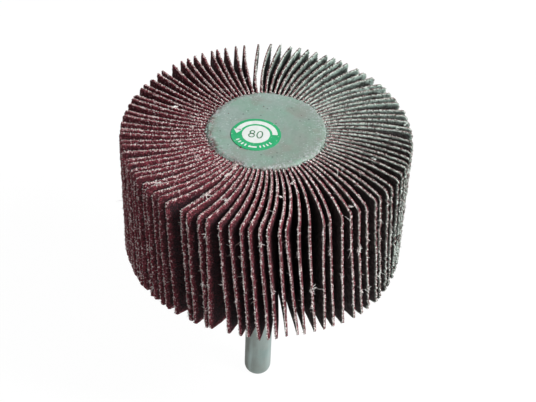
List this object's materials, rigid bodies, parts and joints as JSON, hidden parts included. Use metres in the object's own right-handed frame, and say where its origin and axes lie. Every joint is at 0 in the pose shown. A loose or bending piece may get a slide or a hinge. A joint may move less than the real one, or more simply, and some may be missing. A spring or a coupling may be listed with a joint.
{
  "type": "flap wheel",
  "caption": "Mounted flap wheel: abrasive cloth flaps stand radially in a cast resin core on a round steel shank, for a drill or die grinder.",
  "frame": {"origin": "on the wheel's axis, in the lower face of the head, where the shank leaves it", "axes": "+Z along the axis, from the shank's tip towards the labelled face; the label lies towards -X and -Y"},
  "size_m": [0.06, 0.06, 0.0706],
  "materials": {
    "shank_steel": "ground round steel, satin",
    "core_resin": "cast resin, matte and mottled",
    "flap_abrasive": "coated abrasive cloth, dark red grain on one side and pale grey-green cloth on the other",
    "label_paper": "printed paper label, satin"
  },
  "bodies": {
    "root": {"flap_pair_01": "flap_abrasive", "flap_pair_02": "flap_abrasive", "flap_pair_03": "flap_abrasive", "flap_pair_04": "flap_abrasive", "flap_pair_05": "flap_abrasive", "flap_pair_06": "flap_abrasive", "flap_pair_07": "flap_abrasive", "flap_pair_08": "flap_abrasive", "flap_pair_09": "flap_abrasive", "flap_pair_10": "flap_abrasive", "flap_pair_11": "flap_abrasive", "flap_pair_12": "flap_abrasive", "flap_pair_13": "flap_abrasive", "flap_pair_14": "flap_abrasive", "flap_pair_15": "flap_abrasive", "flap_pair_16": "flap_abrasive", "flap_pair_17": "flap_abrasive", "flap_pair_18": "flap_abrasive", "flap_pair_19": "flap_abrasive", "flap_pair_20": "flap_abrasive", "flap_pair_21": "flap_abrasive", "flap_pair_22": "flap_abrasive", "flap_pair_23": "flap_abrasive", "flap_pair_24": "flap_abrasive", "flap_pair_25": "flap_abrasive", "flap_pair_26": "flap_abrasive", "flap_pair_27": "flap_abrasive", "flap_pair_28": "flap_abrasive", "flap_pair_29": "flap_abrasive", "flap_pair_30": "flap_abrasive", "flap_pair_31": "flap_abrasive", "flap_pair_32": "flap_abrasive", "flap_pair_33": "flap_abrasive", "flap_pair_34": "flap_abrasive", "flap_pair_35": "flap_abrasive", "flap_pair_36": "flap_abrasive", "flap_pair_37": "flap_abrasive", "flap_pair_38": "flap_abrasive", "flap_pair_39": "flap_abrasive", "flap_pair_40": "flap_abrasive", "flap_pair_41": "flap_abrasive", "flap_pair_42": "flap_abrasive", "flap_pair_43": "flap_abrasive", "flap_pair_44": "flap_abrasive", "flap_pair_45": "flap_abrasive", "flap_pair_46": "flap_abrasive", "label": "label_paper", "resin_core": "core_resin", "shank": "shank_steel"}
  },
  "joints": []
}
